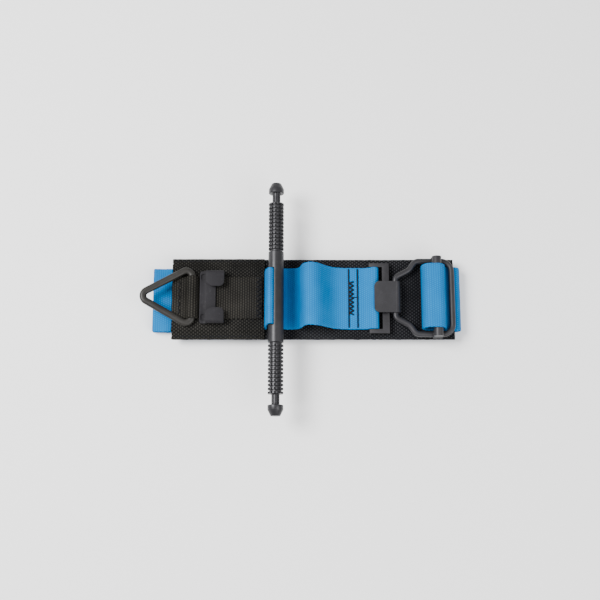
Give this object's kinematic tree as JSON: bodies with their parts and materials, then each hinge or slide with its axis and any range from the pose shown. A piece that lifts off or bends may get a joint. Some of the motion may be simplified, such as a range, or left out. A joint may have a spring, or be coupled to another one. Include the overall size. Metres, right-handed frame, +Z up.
{
  "type": "windlass tourniquet",
  "caption": "Strap-and-windlass limb tourniquet folded flat: padded base, turning rod with tension strap, locking ring, clip, and a hook buckle with a sliding adjuster bar.",
  "frame": {"origin": "on the surface that the folded strap lies on, straight under the windlass's turning axis, on the pad's centreline", "axes": "+X runs along the straps from the ring to the buckle's end wire, +Y across them along the windlass rod at rest, +Z up from the surface"},
  "size_m": [0.1885, 0.1374, 0.0281],
  "materials": {
    "blue_webbing": "woven nylon",
    "pad_webbing": "coarse woven nylon",
    "ring_tape": "ribbed woven nylon",
    "black_thread": "bonded sewing thread",
    "anodised_rod": "hard anodised, satin",
    "coated_steel": "satin black coating",
    "ring_steel": "matt black oxide"
  },
  "bodies": {
    "pad": {"pad_base": "pad_webbing", "pad_sleeve": "pad_webbing", "sleeve_edge_stitching": "black_thread", "ring_webbing": "ring_tape", "ring_webbing_stitching": "black_thread", "ring_webbing_bartack": "black_thread", "windlass_clip": "coated_steel", "tension_strap_anchor": "blue_webbing", "tension_strap_rise": "blue_webbing", "tension_strap_fall": "blue_webbing", "tension_strap_slack": "blue_webbing", "tension_strap_end": "blue_webbing", "tension_strap_stitching": "black_thread", "main_strap_inner_run": "blue_webbing", "main_strap_outer_run": "blue_webbing"},
    "windlass": {"windlass_rod": "anodised_rod", "tension_strap_core": "blue_webbing"},
    "ring": {"tri_ring": "ring_steel"},
    "frame_link": {"slotted_frame": "coated_steel"},
    "bail": {"bail_wire": "coated_steel", "hook_plate": "coated_steel"},
    "adjuster": {"slide_bar": "coated_steel", "strap_loop": "blue_webbing"}
  },
  "joints": [
    {"name": "windlass_turn", "type": "hinge", "parent": "pad", "child": "windlass", "pos_m": [0, 0, 0.022], "axis": [0, 0, 1], "range_deg": [-630, 630], "deforming": ["tension_strap_rise", "tension_strap_fall", "tension_strap_slack"]},
    {"name": "ring_swing", "type": "hinge", "parent": "pad", "child": "ring", "pos_m": [-0.0494, 0, 0.0129], "axis": [0, 1, 0], "range_deg": [0, 122]},
    {"name": "bail_lift", "type": "hinge", "parent": "pad", "child": "bail", "pos_m": [0.1032, 0, 0.01225], "axis": [0, 1, 0], "range_deg": [0, 100]},
    {"name": "frame_tilt", "type": "hinge", "parent": "pad", "child": "frame_link", "pos_m": [0.0577, 0, 0.01055], "axis": [0, 1, 0], "range_deg": [-18, 0]},
    {"name": "bar_slide", "type": "slide", "parent": "bail", "child": "adjuster", "axis": [1, 0, 0], "range_m": [-0.0028, 0]}
  ],
  "couplings": [
    {"joint": "frame_tilt", "follows": "bail_lift", "ratio": -0.18}
  ]
}
